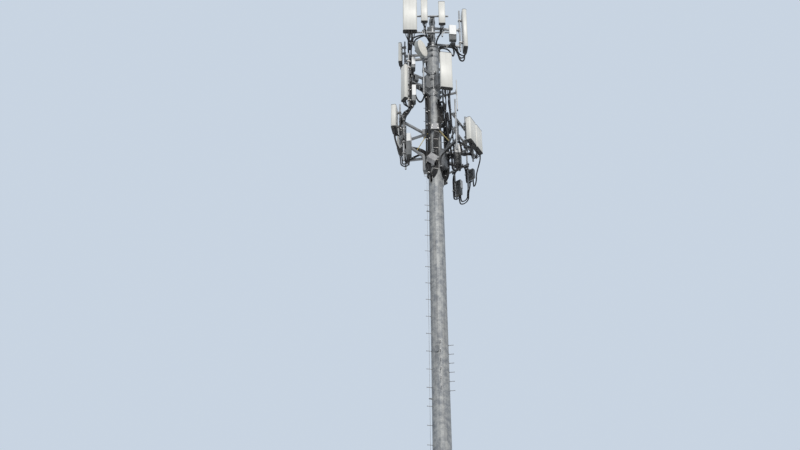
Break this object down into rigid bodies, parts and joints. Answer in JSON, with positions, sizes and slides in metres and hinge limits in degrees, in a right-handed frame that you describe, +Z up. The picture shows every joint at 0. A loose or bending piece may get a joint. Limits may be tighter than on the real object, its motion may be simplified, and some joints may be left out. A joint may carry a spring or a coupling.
{
  "type": "cell tower",
  "caption": "Galvanised steel monopole with a flanged base, climbing pegs and three levels of antennas, radios and a microwave dish on stand-off arms and pipe frames.",
  "frame": {"origin": "centre of the base flange's underside, on the shaft's axis", "axes": "+Z is up along the shaft. -Y is the side that faces the viewer, with the broad antenna of the middle level. +X is to that viewer's right, on the side of the two square antennas."},
  "size_m": [3.2455, 3.3031, 33.7],
  "materials": {
    "shaft_steel": "satin hot-dip galvanised",
    "cable_jacket": "satin",
    "wire_rope": "satin stranded wire",
    "galvanised_steel": "satin hot-dip galvanised",
    "dish_cover": "matt",
    "dish_shell": "satin",
    "radio_case": "satin",
    "cap_plastic": "matt",
    "radome_plastic": "matt",
    "radio_shield": "matt",
    "peg_steel": "satin galvanised",
    "whip_fibreglass": "matt"
  },
  "bodies": {
    "root": {"base_flange": "shaft_steel", "cable_hangers": "cable_jacket", "climb_cable": "wire_rope", "climb_guides": "galvanised_steel", "dish_cover": "dish_cover", "dish_mount": "galvanised_steel", "dish_shell": "dish_shell", "jumper_back_inner": "cable_jacket", "jumper_back_outer": "cable_jacket", "jumper_left_inner": "cable_jacket", "jumper_left_outer": "cable_jacket", "jumper_middle": "cable_jacket", "jumper_right": "cable_jacket", "jumper_top_left": "cable_jacket", "jumper_top_right": "cable_jacket", "junction_boxes": "radio_case", "light_arms": "galvanised_steel", "low_clamps": "galvanised_steel", "low_collars": "galvanised_steel", "low_crossovers": "galvanised_steel", "low_frames": "galvanised_steel", "low_pipes": "galvanised_steel", "low_radios": "radio_case", "low_radome_caps": "cap_plastic", "low_radomes": "radome_plastic", "low_rails": "galvanised_steel", "low_shields": "radio_shield", "low_ties": "galvanised_steel", "mid_clamps": "galvanised_steel", "mid_collars": "galvanised_steel", "mid_frames": "galvanised_steel", "mid_pipes": "galvanised_steel", "mid_radios": "radio_case", "mid_radome_caps": "cap_plastic", "mid_radomes": "radome_plastic", "mid_shields": "radio_shield", "port_covers": "galvanised_steel", "port_rims": "shaft_steel", "riser_cables": "cable_jacket", "shaft_cap": "galvanised_steel", "shaft_lower": "shaft_steel", "shaft_middle": "shaft_steel", "shaft_upper": "shaft_steel", "step_pegs": "peg_steel", "top_clamps": "galvanised_steel", "top_collars": "galvanised_steel", "top_crossovers": "galvanised_steel", "top_frames": "galvanised_steel", "top_pipe": "galvanised_steel", "top_pipes": "galvanised_steel", "top_radios": "radio_case", "top_radome_caps": "cap_plastic", "top_radomes": "radome_plastic", "top_rails": "galvanised_steel", "top_shields": "radio_shield", "trunk_front": "cable_jacket", "trunk_right": "cable_jacket", "whip_rod": "whip_fibreglass", "whip_tip": "cap_plastic"}
  },
  "joints": []
}
